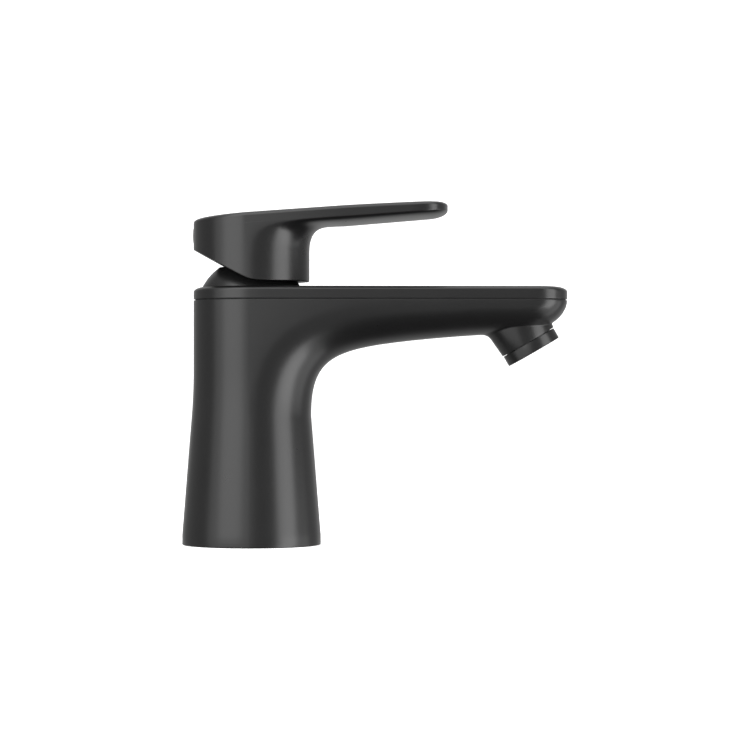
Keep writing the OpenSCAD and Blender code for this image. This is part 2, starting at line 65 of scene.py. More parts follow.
JOINTS = {joint["name"]: joint for joint in frame["record"]["behaviour"]["joints"]}
PIVOT_Z = JOINTS["handle_lift"]["pos_m"][2] / MM

BASE_R = -low("faucet_body", 0)
COLUMN_R = high("top_cover_plate", 1)
SEAM_LOW = high("faucet_body", 2)
SPOUT_TIP = high("faucet_body", 0)
PLATE_LOW = low("top_cover_plate", 2)
PLATE_TOP = high("top_cover_plate", 2)
PLATE_TIP = high("top_cover_plate", 0)
HUB_LOW = low("lever_handle", 2)
LEVER_TIP = high("lever_handle", 0)
OUTLET_TILT = math.radians(30)
RING_R = (high("aerator_housing", 1) - low("aerator_housing", 1)) / 2
OUTLET_Z = low("aerator_housing", 2) + RING_R * math.sin(OUTLET_TILT)
OUTLET_X = high("aerator_housing", 0) - RING_R * math.cos(OUTLET_TILT)

# the column and the plan of the spout
FOOT_BAND = 4.0  # height of the straight band round the foot
CONE_TOP = 49.0  # here the cone starts to ease into the upper radius
COLUMN_TOP = 66.0  # above this the column is straight
TAPER = 0.0297  # half width lost per millimetre towards the tip
FLANK_X = 0.4  # where a front half section is at its widest, on the column

# how finely the shapes are drawn
ARC_STEPS = 56  # round a front half section
REAR_STEPS = 48  # round the rear half circle
RING_STEPS = 96  # round a turned shape

# ---------------------------------------------------------------- curves


def bezier(points, t):
    """Point at t on a cubic curve."""
    a, b, c, d = (np.array(point, float) for point in points)
    return (1 - t) ** 3 * a + 3 * (1 - t) ** 2 * t * b + 3 * (1 - t) * t ** 2 * c + t ** 3 * d


def tip_factor(x, start, tip, power):
    """How a rounded tip narrows: 1 before its start, 0 at the tip, along a superellipse."""
    u = min(1.0, max(0.0, (x - start) / (tip - start)))
    return max(0.0, 1 - u ** power) ** (1 / power)


def column_radius(z):
    """Radius of the column: band at the foot, cone, then an easing to the upper radius."""
    slope = (BASE_R - COLUMN_R) / (CONE_TOP - FOOT_BAND + (COLUMN_TOP - CONE_TOP) / 2)
    if z <= FOOT_BAND:
        return BASE_R
    if z < CONE_TOP:
        return BASE_R - slope * (z - FOOT_BAND)
    left = max(0.0, COLUMN_TOP - z)
    return COLUMN_R + slope * left * left / (2 * (COLUMN_TOP - CONE_TOP))


def bend(inner, side, steps):
    """Stations along a bent sweep: (front point, side point) in the XZ plane."""
    return [(bezier(inner, i / steps), bezier(side, i / steps)) for i in range(steps + 1)]


def end_stations(tip, length, first_deg, last_deg, steps):
    """Places along a rounded end, closer together towards its tip."""
    return [tip - length * (1 - math.sin(a)) for a in np.radians(np.linspace(first_deg, last_deg, steps))]


def front_arc(front, side, half):
    """Front half section at a station, from the +Y side round the front to the -Y side."""
    points = []
    for i in range(ARC_STEPS + 1):
        angle = math.pi / 2 - math.pi * i / ARC_STEPS
        p = front + (side - front) * (1 - math.cos(angle))
        points.append((p[0], half * math.sin(angle), p[1]))
    return points


def rear_arc(radius):
    """Plan points of a rear half circle, from the -Y side round the back to the +Y side."""
    points = []
    for i in range(REAR_STEPS + 1):
        angle = -math.pi / 2 - math.pi * i / REAR_STEPS
        points.append((radius * math.cos(angle), radius * math.sin(angle)))
    return points


def turned(radius, z, steps=RING_STEPS):
    """One ring of points round the Z axis."""
    turns = np.arange(steps) * 2 * math.pi / steps
    return [(radius * math.cos(a), radius * math.sin(a), z) for a in turns]


def quarter(width, height, steps):
    """Quarter-round profile as (inset, drop) steps, from the outer edge to the top."""
    result = []
    for i in range(steps + 1):
        angle = math.pi / 2 * i / steps
        result.append((width * (1 - math.cos(angle)), height * (1 - math.sin(angle))))
    return result


# ---------------------------------------------------------------- mesh building


class Skin:
    """A closed mesh built up from rows of points, in mm."""

    def __init__(self):
        self.points = []
        self.faces = []

    def row(self, points):
        """Adds a row of points and returns their indices."""
        start = len(self.points)
        self.points.extend(tuple(float(c) for c in p) for p in points)
        return list(range(start, len(self.points)))

    def bridge(self, a, b, closed=True):
        """Quads between two rows of the same length."""
        n = len(a)
        for i in range(n if closed else n - 1):
            j = (i + 1) % n
            self.faces.append((a[i], a[j], b[j], b[i]))

    def grow(self, outer, points):
        """Adds a closed row, bridges it to the one before and returns it."""
        row = self.row(points)
        self.bridge(outer, row)
        return row

    def chain(self, rows, closed=True):
        """Bridges each row to the next."""
        for a, b in zip(rows, rows[1:]):
            self.bridge(a, b, closed)

    def fill(self, row):
        """One flat face over a row."""
        self.faces.append(tuple(row))

    def stack(self, rings):
        """Bridges a stack of rings and closes both its ends."""
        self.chain(rings)
        self.fill(rings[0])
        self.fill(rings[-1])

    def make(self, name, sharp_deg=35):
        """The finished object, in metres, with smooth shading up to an angle."""
        mesh = bpy.data.meshes.new(name)
        mesh.from_pydata([tuple(c * MM for c in p) for p in self.points], [], self.faces)
        piece = bpy.data.objects.new(name, mesh)
        bpy.context.scene.collection.objects.link(piece)
        tidy_mesh(piece, sharp_deg)
        return piece


def tidy_mesh(piece, sharp_deg=35):
    """Welds, turns every face outwards and shades smooth up to an angle."""
    work = bmesh.new()
    work.from_mesh(piece.data)
    bmesh.ops.remove_doubles(work, verts=work.verts, dist=2e-7)
    bmesh.ops.dissolve_degenerate(work, edges=work.edges, dist=1e-7)
    bmesh.ops.recalc_face_normals(work, faces=work.faces)
    work.to_mesh(piece.data)
    work.free()
    piece.data.shade_smooth()
    piece.data.set_sharp_from_angle(angle=math.radians(sharp_deg))


def inset(edge, distance):
    """Draws a closed plan outline inward, by one distance or by one for each of its points.

    The outline runs clockwise from above.
    """
    plan = np.array([(p[0], p[1]) for p in edge])
    along = np.roll(plan, -1, axis=0) - np.roll(plan, 1, axis=0)
    along /= np.linalg.norm(along, axis=1)[:, None]
    inward = np.column_stack((along[:, 1], -along[:, 0]))
    return plan + inward * np.reshape(distance, (-1, 1))


def top_edge(ring, arcs):
    """Closed upper edge of a sweep: its last full ring, then the ends of the arcs out to the tip."""
    tip_side = [arc[0] for arc in arcs]
    far_side = [arc[-1] for arc in reversed(arcs)]
    return [ring[0]] + tip_side + far_side + ring[ARC_STEPS:]


def revolve(profile, steps=RING_STEPS):
    """Skin made by turning a closed (radius, height) profile round the Z axis."""
    skin = Skin()
    rows = [skin.row(turned(r, z, steps)) for r, z in profile]
    skin.chain(rows + rows[:1])
    return skin


def corner_arc(before, corner, after, radius, steps):
    """Points on the arc that rounds one corner of a profile."""
    back = before - corner
    ahead = after - corner
    back /= np.linalg.norm(back)
    ahead /= np.linalg.norm(ahead)
    half = math.acos(float(back @ ahead)) / 2
    reach = radius / math.tan(half)
    middle = back + ahead
    centre = corner + middle / np.linalg.norm(middle) * radius / math.sin(half)
    first = corner + back * reach - centre
    last = corner + ahead * reach - centre
    turn = math.acos(float(first @ last) / radius ** 2)
    points = []
    for t in (k / steps for k in range(steps + 1)):
        point = centre + (math.sin((1 - t) * turn) * first + math.sin(t * turn) * last) / math.sin(turn)
        points.append(tuple(point))
    return points


def rounded(profile, radii, steps):
    """Rounds the corners of a closed profile, each by its own radius. A radius of 0 leaves it sharp."""
    corners = [np.array(corner, float) for corner in profile]
    following = corners[1:] + corners[:1]
    out = []
    for i, radius in enumerate(radii):
        if radius > 0:
            out += corner_arc(corners[i - 1], corners[i], following[i], radius, steps)
        else:
            out.append(tuple(corners[i]))
    return out


def at_outlet(points):
    """Moves points from the outlet's own frame, where +Z points up the neck, to the faucet's."""
    c, s = math.cos(OUTLET_TILT), math.sin(OUTLET_TILT)
    return [(OUTLET_X + c * x - s * z, y, OUTLET_Z + s * x + c * z) for x, y, z in points]


def cut(piece, cutter):
    """Takes a cutter away from a piece and removes the cutter."""
    step = piece.modifiers.new("cut", "BOOLEAN")
    step.operation = "DIFFERENCE"
    step.solver = "EXACT"
    step.object = cutter
    bpy.context.view_layer.update()
    graph = bpy.context.evaluated_depsgraph_get()
    result = bpy.data.meshes.new_from_object(piece.evaluated_get(graph))
    piece.modifiers.remove(step)
    piece.data = result
    bpy.data.objects.remove(cutter)


# ---------------------------------------------------------------- casting

EDGE_R = 0.18  # rounding of the edges at the seam
BODY_TOP = SEAM_LOW - EDGE_R
BEND_END = 60.7  # where the bend under the spout ends
END_LENGTH = 19.5  # the spout's underside curves up to the tip over this length
ROUND_LENGTH = 15.3  # the spout's plan rounds off over this length
TIP_POWER = 2.6  # 2 would make the plan's tip elliptical, more makes it squarer


def spout_line(x):
    """Underside of the spout, slightly arched, as if its end didn't round off."""
    along = x - BEND_END
    return 77.4 + 0.105 * along - 0.0009 * along ** 2


def spout_under(x):
    """Underside of the spout along its centre line."""
    rise = tip_factor(x, SPOUT_TIP - END_LENGTH, SPOUT_TIP, 2)
    return BODY_TOP - (BODY_TOP - spout_line(x)) * rise


def spout_half(x):
    """Half width of the spout in plan."""
    narrowing = tip_factor(x, SPOUT_TIP - ROUND_LENGTH, SPOUT_TIP, TIP_POWER)
    return (COLUMN_R - TAPER * max(x, 0)) * narrowing


def belly(x, angle):
    """Point on the spout's underside at x, angle 0 at the bottom and 90 degrees at the side."""
    drop = BODY_TOP - spout_under(x)
    return np.array((x, spout_half(x) * math.sin(angle), BODY_TOP - drop * math.cos(angle)))


def foot_steps():
    """(radius, height) steps up the foot and the cone, with a rounded lower edge."""
    foot_round = 0.5
    crease = 0.012
    steps = [(BASE_R - foot_round + foot_round * math.sin(a), foot_round * (1 - math.cos(a)))
             for a in np.radians([0, 22, 45, 67, 90])]
    steps += [(BASE_R, 2), (BASE_R, 3.2), (BASE_R - crease, FOOT_BAND), (column_radius(4.8), 4.8)]
    steps += [(column_radius(z), z) for z in np.linspace(7, CONE_TOP - 1, 16)]
    return steps


def body_rings():
    """Rings up the column and round the bend into the spout."""
    rings = []
    for r, z in foot_steps():
        arc = front_arc(np.array((r, z)), np.array((FLANK_X, z)), r)
        rings.append(arc + [(x, y, z) for x, y in rear_arc(r)])
    # the bend's front line and side line, each by the (x, z) of its control points
    inner = [(column_radius(CONE_TOP), CONE_TOP), (22.67, 70.9), (30.8, 74.1),
             (BEND_END, spout_under(BEND_END))]
    side = [(FLANK_X, CONE_TOP), (FLANK_X, 82), (20, BODY_TOP), (BEND_END, BODY_TOP)]
    for front, flank in bend(inner, side, 44):
        r = column_radius(flank[1])
        arc = front_arc(front, flank, r - TAPER * flank[0])
        rings.append(arc + [(x, y, flank[1]) for x, y in rear_arc(r)])
    return rings


def spout_stations():
    """Places along the spout, from the bend's end to its tip."""
    straight = np.linspace(BEND_END + 2, SPOUT_TIP - END_LENGTH, 22)
    return list(straight) + end_stations(SPOUT_TIP, END_LENGTH, 3, 88.6, 26)


def spout_arc(x):
    """The spout's underside at x, from the +Y side to the -Y side."""
    return [belly(x, math.pi / 2 - math.pi * i / ARC_STEPS) for i in range(ARC_STEPS + 1)]


NECK_LOW = 4.4  # height of the neck's rim above the ring's lower edge, along the neck
NECK_R = 11.15  # at the rim
NECK_DRAFT = 0.09  # the neck widens by this much per millimetre
UP = np.array((-math.sin(OUTLET_TILT), 0, math.cos(OUTLET_TILT)))
OUT = np.array((math.cos(OUTLET_TILT), 0, math.sin(OUTLET_TILT)))
OUTLET = np.array((OUTLET_X, 0, OUTLET_Z))


def inside_belly(p):
    """Negative inside the spout, positive outside."""
    drop = BODY_TOP - spout_under(p[0])
    half = spout_half(p[0])
    least = 0.01
    if p[0] >= SPOUT_TIP - least or drop < least or half < least:
        return 1.0
    return ((BODY_TOP - p[2]) / drop) ** 2 + (p[1] / half) ** 2 - 1


def polar(turn, radius, height):
    """Point in the faucet's frame from the neck's own polar frame."""
    side = math.cos(turn) * OUT + math.sin(turn) * np.array((0, 1, 0))
    return OUTLET + radius * side + height * UP


def belly_height(turn, radius):
    """Height up the neck's axis at which a line beside it meets the spout's underside, by halving."""
    below = -6.0
    above = 16.0
    for _ in range(40):
        middle = (below + above) / 2
        if inside_belly(polar(turn, radius, middle)) > 0:
            below = middle
        else:
            above = middle
    return below


def fillet(turn):
    """Length of the neck's fillet: a tight crease in front and at the sides, wider behind."""
    return 0.5 + 1.8 * max(0.0, -math.cos(turn)) ** 4


def neck_radius(height):
    """Radius of the neck's outer wall."""
    return NECK_R + NECK_DRAFT * (height - NECK_LOW)


def fillet_points(turn):
    """(radius, height) of the fillet's landing on the spout, its corner and its start on the neck."""
    meet = NECK_LOW
    for _ in range(12):
        meet = belly_height(turn, neck_radius(meet))
    reach = fillet(turn)
    start = max(NECK_LOW + 0.45, meet - reach)
    corner = neck_radius(meet)
    landing = corner + reach
    landing_height = belly_height(turn, landing)
    probe = 0.05
    slope = (landing_height - belly_height(turn, landing - probe)) / probe
    corner_height = max(landing_height + slope * (corner - landing), start + 0.1)
    return np.array([(landing, landing_height), (corner, corner_height), (neck_radius(start), start)])


def to_belly_angles(p):
    """(x, angle) of the point on the spout's underside at the same place in plan."""
    return p[0], math.asin(max(-1.0, min(1.0, p[1] / spout_half(p[0]))))


def neck_walls():
    """(radius, height) steps round the neck's rim and up its bore."""
    rim = 0.12
    bore_r = 9.55
    chamfer = 0.2
    bore_depth = 8
    walls = [(NECK_R + 0.012, NECK_LOW + rim)]
    walls += [(NECK_R - i, NECK_LOW + d) for i, d in quarter(rim, rim, 4)][1:]
    walls += [(bore_r + chamfer, NECK_LOW), (bore_r, NECK_LOW + chamfer), (bore_r, NECK_LOW + bore_depth)]
    return walls


def add_neck(skin, window):
    """Grows the aerator neck from a window left in the spout's underside."""
    spots = [np.array(skin.points[i]) for i in window]
    turns = [math.atan2(p[1], float((p - OUTLET) @ OUT)) for p in spots]
    fillets = [fillet_points(turn) for turn in turns]
    edge = np.array([to_belly_angles(p) for p in spots])
    landing = np.array([to_belly_angles(polar(turn, *points[0])) for turn, points in zip(turns, fillets)])
    outer = window
    for k in (0.25, 0.5, 0.75):
        outer = skin.grow(outer, [belly(x, angle) for x, angle in edge + k * (landing - edge)])
    for k in np.linspace(0, 1, 11):
        curve = [(1 - k) ** 2 * p[0] + 2 * k * (1 - k) * p[1] + k * k * p[2] for p in fillets]
        outer = skin.grow(outer, [polar(turn, *point) for turn, point in zip(turns, curve)])
    for radius, height in neck_walls():
        outer = skin.grow(outer, [polar(turn, radius, height) for turn in turns])
    skin.fill(outer)


def spout_with_window(skin, arcs, xs):
    """Skins the spout but for a window under its end, and returns the window's edge."""
    back_x = OUTLET_X - 25.5
    front_x = SPOUT_TIP - 0.75
    side_steps = 5
    first = next(i for i, x in enumerate(xs) if x > back_x)
    last = next(i for i, x in enumerate(xs) if x > front_x)
    left = side_steps
    right = ARC_STEPS - side_steps
    for j, (a, b) in enumerate(zip(arcs, arcs[1:])):
        for i in range(ARC_STEPS):
            in_window = first <= j < last and left <= i < right
            if not in_window:
                skin.faces.append((a[i], a[i + 1], b[i + 1], b[i]))
    window = arcs[first][left:right]
    window += [arc[right] for arc in arcs[first:last]]
    window += [arcs[last][i] for i in range(right, left, -1)]
    window += [arcs[j][left] for j in range(last, first, -1)]
    return window


def casting():
    """The cast body: column, bend, spout and aerator neck."""
    skin = Skin()
    rings = [skin.row(ring) for ring in body_rings()]
    xs = spout_stations()
    arcs = [skin.row(spout_arc(x)) for x in xs]
    skin.fill(rings[0])
    skin.chain(rings)
    skin.bridge(rings[-1][:ARC_STEPS + 1], arcs[0], closed=False)
    add_neck(skin, spout_with_window(skin, arcs, xs))
    skin.fill(arcs[-1])
    outer = top_edge(rings[-1], arcs)
    base = [skin.points[i] for i in outer]
    for i, d in quarter(EDGE_R, EDGE_R, 4)[1:]:
        outer = skin.grow(outer, [(x, y, SEAM_LOW - d) for x, y in inset(base, i)])
    skin.fill(outer)
    return skin.make("faucet_casting")


def hollow_foot(piece):
    """Cuts the foot's hollow, the chamber above it and the gasket's groove out of the casting."""
    beyond = 1
    foot_r = 22.6
    roof_r = 19.4
    roof_z = 45
    block_r = high("inlet_block", 1) + 0.03
    block_top = 58
    chamber_r = 17.65
    mouth_r = 19.0
    mouth_z = SEAM_LOW - 9
    hollow = [(foot_r, -beyond), (foot_r, 0), (roof_r, roof_z), (block_r, roof_z), (block_r, block_top),
              (chamber_r, block_top), (chamber_r, mouth_z), (mouth_r, mouth_z), (mouth_r, SEAM_LOW + beyond)]
    skin = Skin()
    skin.stack([skin.row(turned(r, z)) for r, z in hollow])
    cut(piece, skin.make("hollow_cutter"))
    groove_in = 23.5
    groove_out = 25.2
    groove_top = 1.6
    groove = revolve([(groove_in, -beyond), (groove_out, -beyond), (groove_out, groove_top),
                      (groove_in, groove_top)])
    cut(piece, groove.make("groove_cutter"))
    tidy_mesh(piece)


# ---------------------------------------------------------------- cover plate

PLATE_CROWN = 1.45  # height of the crown along the plate's edge
PLATE_CROWN_W = 3.0  # its width
END_EXTRA = 0.5  # added to the crown's height at the two ends
END_EXTRA_W = 1.6  # added to its width there


def plan_outline(tip, round_length):
    """Closed plan outline, clockwise from above: +Y side, tip, -Y side, rear half circle."""
    start = tip - round_length
    side = [(x, COLUMN_R - TAPER * x) for x in np.linspace(0, start, 24)]
    for a in np.radians(np.linspace(0, 90, 41))[1:]:
        x = start + round_length * math.sin(a) ** (2 / TIP_POWER)
        side.append((x, (COLUMN_R - TAPER * x) * max(0.0, math.cos(a)) ** (2 / TIP_POWER)))
    mirrored = [(x, -y) for x, y in reversed(side[:-1])]
    return side + mirrored + rear_arc(COLUMN_R)[1:-1]


def cover_plate():
    """Plate with a vertical band, a soft crown along its edge and a flat top with the cap's hole."""
    edge = plan_outline(PLATE_TIP, ROUND_LENGTH)
    ends = np.abs(inset(edge, 1.0)[:, 0] - np.array(edge)[:, 0]) ** 2  # 1 where the edge faces X
    crown = PLATE_CROWN + END_EXTRA * ends
    crown_w = PLATE_CROWN_W + END_EXTRA_W * ends
    band_low = PLATE_LOW + EDGE_R
    band_high = PLATE_TOP - crown
    hold = 0.15
    rows = [(EDGE_R, PLATE_LOW), (0.3 * EDGE_R, PLATE_LOW + 0.3 * EDGE_R), (0.0, band_low)]
    rows += [(0.0, band_low + hold), (0.0, band_high - hold)]
    rows += [(i * crown_w, PLATE_TOP - d * crown) for i, d in quarter(1, 1, 14)]
    skin = Skin()
    rings = []
    for i, z in rows:
        plan = inset(edge, i)
        rings.append(skin.row(np.column_stack((plan, np.broadcast_to(z, len(plan))))))
    skin.stack(rings)
    plate = skin.make("cover_plate")
    hole_r = 16.6
    hole = Skin()
    hole.stack([hole.row(turned(hole_r, z)) for z in (PLATE_LOW - 1, PLATE_TOP + 1)])
    cut(plate, hole.make("hole_cutter"))
    tidy_mesh(plate)
    return plate


# ---------------------------------------------------------------- handle

LEVER_START = 111.0  # the hub is a plain cylinder up to here
LEVER_BEND_END = 36.0  # where the bend under the lever ends
LEVER_END = 6.3  # the lever's underside curves up to the tip over this length
LEVER_ROUND = 13.4  # the lever's plan rounds off over this length
LEVER_POWER = 3  # squareness of the lever's tip in plan
LEVER_CROWN = 1.45  # height of the crown along the lever's edge
LEVER_CROWN_W = 3.2  # its width
CAVITY_R = 18.8  # room under the hub for the ball cap
CAVITY_TOP = 114.0


def lever_edge(x):
    """Height of the lower edge of the lever's side band."""
    return 123.8 + 0.073 * (x - 34)


def lever_top(x):
    """Height of the lever's top line."""
    return 125.42 + 0.0817 * x - 0.000312 * x * x


def lever_under(x):
    """Underside of the lever along its centre line."""
    line = 121.05 + 0.083 * (x - LEVER_BEND_END)
    rise = tip_factor(x, LEVER_TIP - LEVER_END, LEVER_TIP, 2)
    return lever_edge(x) - (lever_edge(x) - line) * rise


def lever_half(x):
    """Half width of the lever in plan."""
    narrowing = tip_factor(x, LEVER_TIP - LEVER_ROUND, LEVER_TIP, LEVER_POWER)
    return (COLUMN_R - TAPER * max(x, 0)) * narrowing


def hub_rim(x):
    """Height of the hub's lower rim: flat in front, sloping up behind, with a round blend."""
    slope = math.tan(math.radians(28.5))
    slope_start = 0.3
    blend = 2.4
    roundness = 0.35
    rise = slope * (slope_start - x) / blend
    return HUB_LOW + blend * (0.5 * (rise + math.sqrt(rise * rise + roundness)))


def rim_row(radius, offset):
    """Ring of hub points in the order of the sweep's rings, at an offset above the rim."""
    plan = [(radius * math.cos(a), radius * math.sin(a))
            for a in np.pi / 2 - np.pi * np.arange(ARC_STEPS + 1) / ARC_STEPS]
    plan += rear_arc(radius)[1:-1]
    return [(x, y, hub_rim(x) + offset) for x, y in plan]


def hub_start(x):
    """Height at which the bent sweep takes over from the plain hub, which is higher at the rear."""
    rear_rise = 3.2
    rise_start = -8
    rise_length = 10
    return LEVER_START + rear_rise * min(1.0, max(0.0, (rise_start - x) / rise_length))


def hub_rows():
    """Rows of the hub: down the cavity, round the rim and up to where the sweep begins."""
    rim_r = 0.3
    rows = [rim_row(CAVITY_R, 1.2), rim_row(CAVITY_R, 0.4), rim_row(CAVITY_R + 0.12, 0.1)]
    rows += [rim_row(CAVITY_R + 0.4, 0.0), rim_row(COLUMN_R - rim_r, 0.0)]
    rows += [rim_row(COLUMN_R - rim_r * (1 - math.sin(a)), rim_r * (1 - math.cos(a)))
             for a in np.radians([22, 45, 67, 90])]
    wall = rows[-1]
    rows += [[(x, y, z + k * (hub_start(x) - z)) for x, y, z in wall] for k in (0.04, 0.3, 0.6, 0.85)]
    return rows


def lever_rings():
    """Rings round the bend from the hub into the lever. Their rear parts climb to the side band."""
    # the bend's front line and side line, each by the (x, z) of its control points
    inner = [(COLUMN_R, LEVER_START), (22.05, 122.1), (28.8, 120.7),
             (LEVER_BEND_END, lever_under(LEVER_BEND_END))]
    side = [(FLANK_X, LEVER_START), (FLANK_X, 121), (8, 122.1),
            (LEVER_BEND_END, lever_edge(LEVER_BEND_END))]
    steps = 40
    rings = []
    for i, (front, flank) in enumerate(bend(inner, side, steps)):
        climbed = (flank[1] - LEVER_START) / (lever_edge(flank[0]) - LEVER_START)
        share = min(1 - 0.02 * (1 - i / steps), climbed)  # keeps each rear part above the last
        rear = [(x, y, hub_start(x) + share * (lever_edge(x) - hub_start(x)))
                for x, y in rear_arc(COLUMN_R)[1:-1]]
        rings.append(front_arc(front, flank, lever_half(flank[0])) + rear)
    return rings


def lever_arcs():
    """Arcs of the lever's underside, from the bend's end out to its tip."""
    xs = list(np.linspace(LEVER_BEND_END + 1.5, LEVER_TIP - LEVER_END, 18))
    xs += end_stations(LEVER_TIP, LEVER_END, 4, 88.4, 22)
    return [front_arc(np.array((x, lever_under(x))), np.array((x, lever_edge(x))), lever_half(x))
            for x in xs]


def close_top(skin, edge, tip):
    """Closes a top with strips across it. Points tip - i and tip + 1 + i lie opposite each other."""
    for i in range((len(edge) - 1) // 2):
        strip = (edge[tip - i], edge[tip + 1 + i], edge[tip + 2 + i], edge[tip - 1 - i])
        skin.fill(dict.fromkeys(strip))  # the last strip is a triangle


def handle():
    """Hub and lever in one casting, with the cavity that the ball cap sits in."""
    skin = Skin()
    outer = skin.row([(x, y, CAVITY_TOP) for x, y, _ in rim_row(CAVITY_R, 0)])
    skin.fill(outer)
    for points in hub_rows() + lever_rings():
        outer = skin.grow(outer, points)
    arcs = [skin.row(arc) for arc in lever_arcs()]
    skin.bridge(outer[:ARC_STEPS + 1], arcs[0], closed=False)
    skin.chain(arcs, closed=False)
    skin.fill(arcs[-1])
    outer = top_edge(outer, arcs)
    base = [skin.points[i] for i in outer]
    for k in (0.06, 0.5, 0.94):
        outer = skin.grow(outer, [(x, y, z + k * (lever_top(x) - LEVER_CROWN - z)) for x, y, z in base])
    for i, d in quarter(LEVER_CROWN_W, LEVER_CROWN, 14):
        outer = skin.grow(outer, [(x, y, lever_top(x) - d) for x, y in inset(base, i)])
    close_top(skin, outer, len(arcs))
    return skin.make("lever_casting")


def hub_plug():
    """Crowned round plug over the set screw, at the back of the hub."""
    centre_z = (low("set_screw_plug", 2) + high("set_screw_plug", 2)) / 2
    face_x = low("set_screw_plug", 0)
    plug_r = (high("set_screw_plug", 1) - low("set_screw_plug", 1)) / 2 - 0.05
    crown = [(0.4, 0.0), (0.8, 0.002), (1.6, 0.012), (2.3, 0.04)]
    edge = [(plug_r - 0.2, 0.09), (plug_r - 0.06, 0.15), (plug_r, 0.27), (plug_r, 3.5)]
    skin = Skin()
    rings = []
    for r, depth in crown + edge:
        rings.append(skin.row([(face_x + depth, x, centre_z + y) for x, y, _ in turned(r, 0, 48)]))
    skin.stack(rings)
    return skin.make("plug_crowned")


# ---------------------------------------------------------------- ball cap and aerator ring


def sphere_profile(radius, low_z, high_z, steps):
    """(radius, height) points on a sphere round the pivot, between two heights."""
    first = math.asin((low_z - PIVOT_Z) / radius)
    last = math.asin((high_z - PIVOT_Z) / radius)
    return [(radius * math.cos(a), PIVOT_Z + radius * math.sin(a)) for a in np.linspace(first, last, steps)]


def ball_cap():
    """Ball-shaped cap: a true sphere round the pivot, with a rounded flat top and its opening."""
    ball_r = 21.0
    wall = 1.2
    flat_z = high("dome_cap", 2)
    floor_z = PLATE_TOP + 1.3
    ceiling_z = flat_z - 1.3
    opening_r = 11.5
    skirt_in = 15.2
    skirt_out = 16.4
    skirt_low = 94.5
    outside = sphere_profile(ball_r, PLATE_TOP, flat_z - 0.35, 26)
    top_r = outside[-1][0]
    top = [(top_r - 0.22, flat_z - 0.14), (top_r - 0.5, flat_z - 0.03), (top_r - 0.9, flat_z)]
    opening = [(opening_r + 0.3, flat_z), (opening_r + 0.05, flat_z - 0.12), (opening_r, flat_z - 0.35),
               (opening_r, ceiling_z)]
    inside = sphere_profile(ball_r - wall, ceiling_z, floor_z, 12)
    skirt = [(skirt_in, floor_z), (skirt_in, skirt_low), (skirt_out, skirt_low), (skirt_out, PLATE_TOP)]
    return revolve(outside + top + opening + inside + skirt, 128).make("ball_cap")


def aerator_ring():
    """Ring of the aerator housing with fine grip ribs, and the thread that holds it in the neck."""
    height = 4.1
    bore_r = 8.2
    thread_r = 9.4
    thread_top = 10
    ribs = 72
    rib_depth = 0.035
    steps = ribs * 6
    corners = [(bore_r, 0), (RING_R, 0), (RING_R, height), (thread_r, height), (thread_r, thread_top),
               (bore_r, thread_top)]
    skin = Skin()
    rows = []
    for r, z in rounded(corners, [0.35, 0.2, 0.12, 0, 0.2, 0.2], 4):
        ribbed = r > RING_R - 0.02 and 0.5 < z < height - 0.4
        grip = rib_depth if ribbed else 0.0
        ring = []
        for i in range(steps):
            a = 2 * math.pi * i / steps
            q = r - grip * (0.5 - 0.5 * math.cos(ribs * a))
            ring.append((q * math.cos(a), q * math.sin(a), z))
        rows.append(skin.row(at_outlet(ring)))
    skin.chain(rows + rows[:1])
    return skin.make("aerator_ring")


# ---------------------------------------------------------------- materials


class Nodes:
    """Short forms for building a material's node tree."""

    def __init__(self, name):
        self.material = bpy.data.materials.new(name)
        self.material.use_nodes = True
        self.tree = self.material.node_tree
        self.shader = self.tree.nodes["Principled BSDF"]
        self.place = self.add("ShaderNodeTexCoord").outputs["Object"]

    def add(self, kind, **values):
        """A node with its input values set by name."""
        node = self.tree.nodes.new(kind)
        for key, value in values.items():
            node.inputs[key].default_value = value
        return node

    def link(self, source, node, socket):
        """Links an output to a node's input."""
        self.tree.links.new(source, node.inputs[socket])

    def maths(self, operation, *sources):
        """A math node with its inputs linked."""
        node = self.add("ShaderNodeMath")
        node.operation = operation
        for index, source in enumerate(sources):
            self.link(source, node, index)
        return node

    def noise(self, scale, detail=3.0, rough=0.6, stretch=(1, 1, 1)):
        """Noise over the object's own coordinates, stretched per axis."""
        mapping = self.add("ShaderNodeMapping", Scale=stretch)
        self.link(self.place, mapping, "Vector")
        node = self.add("ShaderNodeTexNoise", Scale=scale, Detail=detail, Roughness=rough)
        self.link(mapping.outputs["Vector"], node, "Vector")
        return node.outputs["Fac"]

    def span(self, source, low_value, high_value, start=0.3, end=0.7):
        """Maps a noise's useful range onto two values."""
        node = self.add("ShaderNodeMapRange", **{
            "From Min": start, "From Max": end, "To Min": low_value, "To Max": high_value})
        self.link(source, node, "Value")
        return node.outputs["Result"]

    def blend(self, factor, first, second):
        """Mixes two colours by a factor."""
        node = self.tree.nodes.new("ShaderNodeMix")
        node.data_type = "RGBA"
        self.link(factor, node, 0)
        colour_a, colour_b, colour_result = 6, 7, 2
        for index, colour in ((colour_a, first), (colour_b, second)):
            if isinstance(colour, tuple):
                node.inputs[index].default_value = (*colour, 1)
            else:
                self.link(colour, node, index)
        return node.outputs[colour_result]

    def bumps(self, layers):
        """Chains (source, strength, distance in mm) into the shader's normal."""
        normal = None
        for source, strength, distance in layers:
            node = self.add("ShaderNodeBump", Strength=strength, Distance=distance * MM)
            self.link(source, node, "Height")
            if normal is not None:
                self.link(normal, node, "Normal")
            normal = node.outputs["Normal"]
        self.link(normal, self.shader, "Normal")

    def edge_wear(self, start, end):
        """Pointiness, stretched so that convex edges give 1 and flat faces 0."""
        geometry = self.add("ShaderNodeNewGeometry")
        return self.span(geometry.outputs["Pointiness"], 0.0, 1.0, start, end)


def grey(shade):
    """An even grey."""
    return (shade,) * 3


